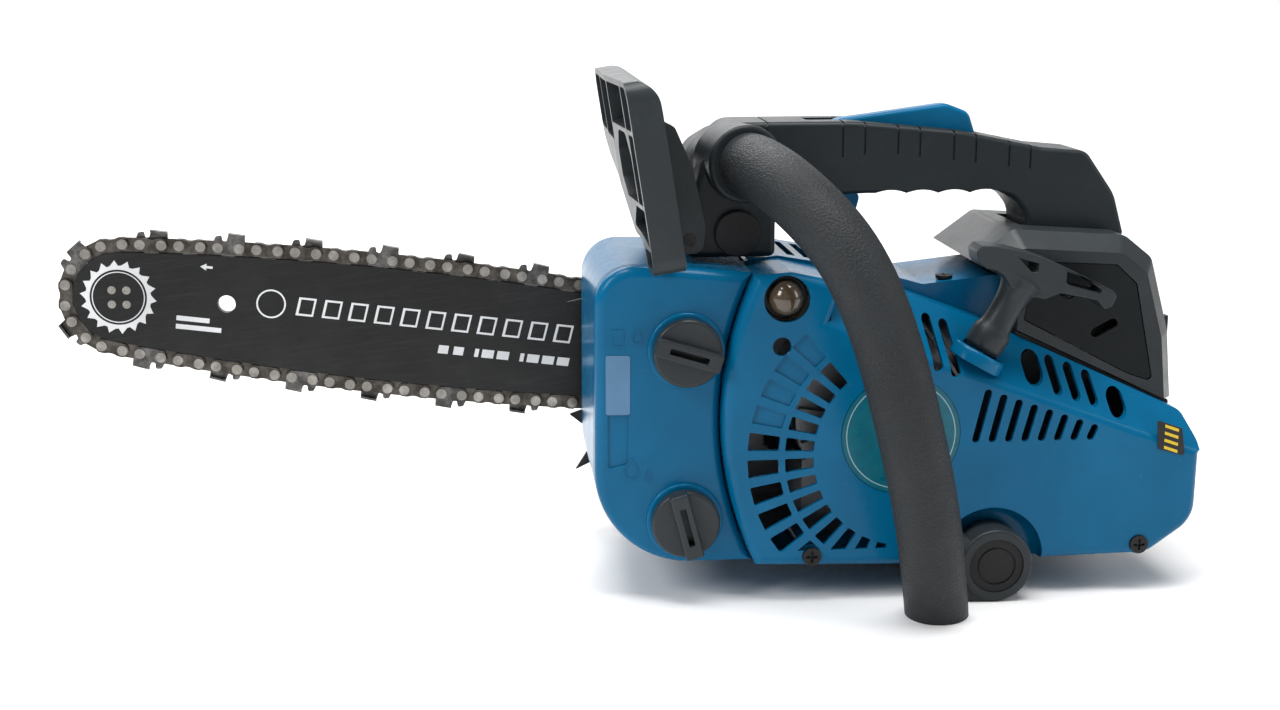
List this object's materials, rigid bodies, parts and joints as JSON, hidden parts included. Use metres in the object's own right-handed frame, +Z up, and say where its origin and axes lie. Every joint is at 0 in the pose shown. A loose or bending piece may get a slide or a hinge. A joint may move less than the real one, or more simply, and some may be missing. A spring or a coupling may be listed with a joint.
{
  "type": "top-handle chainsaw",
  "caption": "Compact petrol chainsaw with a top handle, wrap-around front tube handle, slotted housing, recoil grip, hand guard and a guide bar with saw chain.",
  "frame": {"origin": "centre of the footprint on the floor the saw stands on", "axes": "+Z up; the guide bar points towards -X; the starter and filler caps face -Y; the clutch cover faces +Y"},
  "size_m": [0.5444, 0.216, 0.2365],
  "materials": {
    "blue_gloss": "gloss moulded housing plastic",
    "dark_plastic": "satin dark grey plastic",
    "grey_plastic": "satin mid grey plastic",
    "sleeve_grey": "grained grey sleeve",
    "black_rubber": "matt black rubber",
    "bar_black": "satin black enamel",
    "steel": "oiled chain steel",
    "bright_steel": "turned bright steel",
    "dark_steel": "black steel",
    "cast_alloy": "die-cast alloy",
    "heat_steel": "heat-tinted sheet steel",
    "smoky_clear": "smoky clear bulb",
    "rope_white": "braided cord",
    "filter_felt": "pleated filter",
    "label_teal": "printed label"
  },
  "bodies": {
    "saw": {"air_filter": "filter_felt", "av_buffers": "black_rubber", "bar_core": "dark_steel", "bar_side_plates": "bar_black", "bar_studs_nuts": "bright_steel", "bar_tensioner": "bright_steel", "brake_band": "bright_steel", "carb_panel": "dark_plastic", "carburettor": "cast_alloy", "chain_catcher": "dark_plastic", "chain_cutters": "steel", "chain_drive_links": "steel", "chain_rivets": "bright_steel", "chain_tie_straps": "steel", "clutch_cover": "dark_plastic", "clutch_drum": "bright_steel", "conrod": "bright_steel", "crank_bearings": "bright_steel", "crankcase": "cast_alloy", "cylinder": "cast_alloy", "cylinder_cover": "blue_gloss", "front_handle_sleeve": "sleeve_grey", "front_handle_tube": "cast_alloy", "housing_screws": "dark_steel", "ignition_coil": "dark_plastic", "intake_boot": "black_rubber", "labels": "label_teal", "lower_bracket": "grey_plastic", "muffler": "heat_steel", "nose_rivets": "bright_steel", "nose_sprocket": "steel", "oil_pump": "dark_plastic", "piston": "cast_alloy", "pivot_pins": "bright_steel", "primer_base": "dark_plastic", "rear_cover": "grey_plastic", "rewind_spring": "dark_steel", "spark_plug": "dark_plastic", "spike_plate": "dark_steel", "starter_housing": "blue_gloss", "starter_rope": "rope_white", "tank_housing": "blue_gloss", "top_handle": "dark_plastic"},
    "crank": {"crankshaft": "bright_steel", "flywheel": "cast_alloy", "clutch": "dark_steel"},
    "pulley": {"starter_pulley": "dark_plastic"},
    "pull_grip": {"starter_grip": "grey_plastic"},
    "guard": {"hand_guard": "grey_plastic"},
    "trigger": {"throttle_trigger": "blue_gloss"},
    "lockout": {"trigger_lockout": "blue_gloss"},
    "throttle": {"throttle_shaft": "bright_steel"},
    "fuel_seal": {"fuel_cap_seal": "black_rubber"},
    "fuel_cap": {"fuel_cap": "grey_plastic"},
    "oil_seal": {"oil_cap_seal": "black_rubber"},
    "oil_cap": {"oil_cap": "grey_plastic"},
    "bulb": {"primer_bulb": "smoky_clear"},
    "choke": {"choke_lever": "dark_plastic"},
    "switch": {"stop_switch": "dark_plastic"},
    "knob": {"filter_knob": "dark_plastic"}
  },
  "joints": [
    {"name": "crank_spin", "type": "hinge", "parent": "saw", "child": "crank", "pos_m": [0.11415, 0.02398, 0.08], "axis": [0, 1, 0], "continuous": true},
    {"name": "grip_pull", "type": "slide", "parent": "saw", "child": "pull_grip", "axis": [0.485, 0, 0.8745], "range_m": [0, 0.6], "stiffness_N_per_m": 8, "springref_m": -0.5},
    {"name": "pulley_wind", "type": "hinge", "parent": "saw", "child": "pulley", "pos_m": [0.11415, -0.03702, 0.08], "axis": [0, -1, 0], "range_deg": [0, 1590]},
    {"name": "brake_lever", "type": "hinge", "parent": "saw", "child": "guard", "pos_m": [0.02715, 0.02398, 0.1637], "axis": [0, -1, 0], "range_deg": [0, 18]},
    {"name": "trigger_squeeze", "type": "hinge", "parent": "saw", "child": "trigger", "pos_m": [0.08715, 0.02398, 0.192], "axis": [0, -1, 0], "range_deg": [0, 18], "stiffness_Nm_per_rad": 0.3, "springref_deg": -28.65},
    {"name": "throttle_turn", "type": "hinge", "parent": "saw", "child": "throttle", "pos_m": [0.21915, 0.01198, 0.118], "axis": [0, -1, 0], "range_deg": [0, 75]},
    {"name": "lockout_press", "type": "hinge", "parent": "saw", "child": "lockout", "pos_m": [0.09315, 0.02398, 0.2035], "axis": [0, 1, 0], "range_deg": [0, 8], "stiffness_Nm_per_rad": 0.4, "springref_deg": -22.92},
    {"name": "fuel_cap_lift", "type": "slide", "parent": "saw", "child": "fuel_seal", "axis": [0, -1, 0], "range_m": [0, 0.012]},
    {"name": "fuel_cap_turn", "type": "hinge", "parent": "fuel_seal", "child": "fuel_cap", "pos_m": [0.02385, -0.04202, 0.1166], "axis": [0, -1, 0], "range_deg": [0, 1080]},
    {"name": "oil_cap_lift", "type": "slide", "parent": "saw", "child": "oil_seal", "axis": [0, -1, 0], "range_m": [0, 0.012]},
    {"name": "oil_cap_turn", "type": "hinge", "parent": "oil_seal", "child": "oil_cap", "pos_m": [0.02335, -0.04202, 0.0382], "axis": [0, -1, 0], "range_deg": [0, 1080]},
    {"name": "primer_press", "type": "slide", "parent": "saw", "child": "bulb", "axis": [0, 1, 0], "range_m": [0, 0.003], "stiffness_N_per_m": 400, "springref_m": -0.001},
    {"name": "choke_pull", "type": "slide", "parent": "saw", "child": "choke", "axis": [1, 0, 0], "range_m": [0, 0.008]},
    {"name": "switch_slide", "type": "slide", "parent": "saw", "child": "switch", "axis": [1, 0, 0], "range_m": [0, 0.004]},
    {"name": "filter_knob_turn", "type": "hinge", "parent": "saw", "child": "knob", "pos_m": [0.26015, 0.02398, 0.105], "axis": [1, 0, 0], "range_deg": [0, 180]}
  ],
  "couplings": [
    {"joint": "pulley_wind", "follows": "grip_pull", "rad_per_m": 46.147},
    {"joint": "throttle_turn", "follows": "trigger_squeeze", "ratio": 4.1667},
    {"joint": "fuel_cap_turn", "follows": "fuel_cap_lift", "rad_per_m": 1570},
    {"joint": "oil_cap_turn", "follows": "oil_cap_lift", "rad_per_m": 1570}
  ]
}
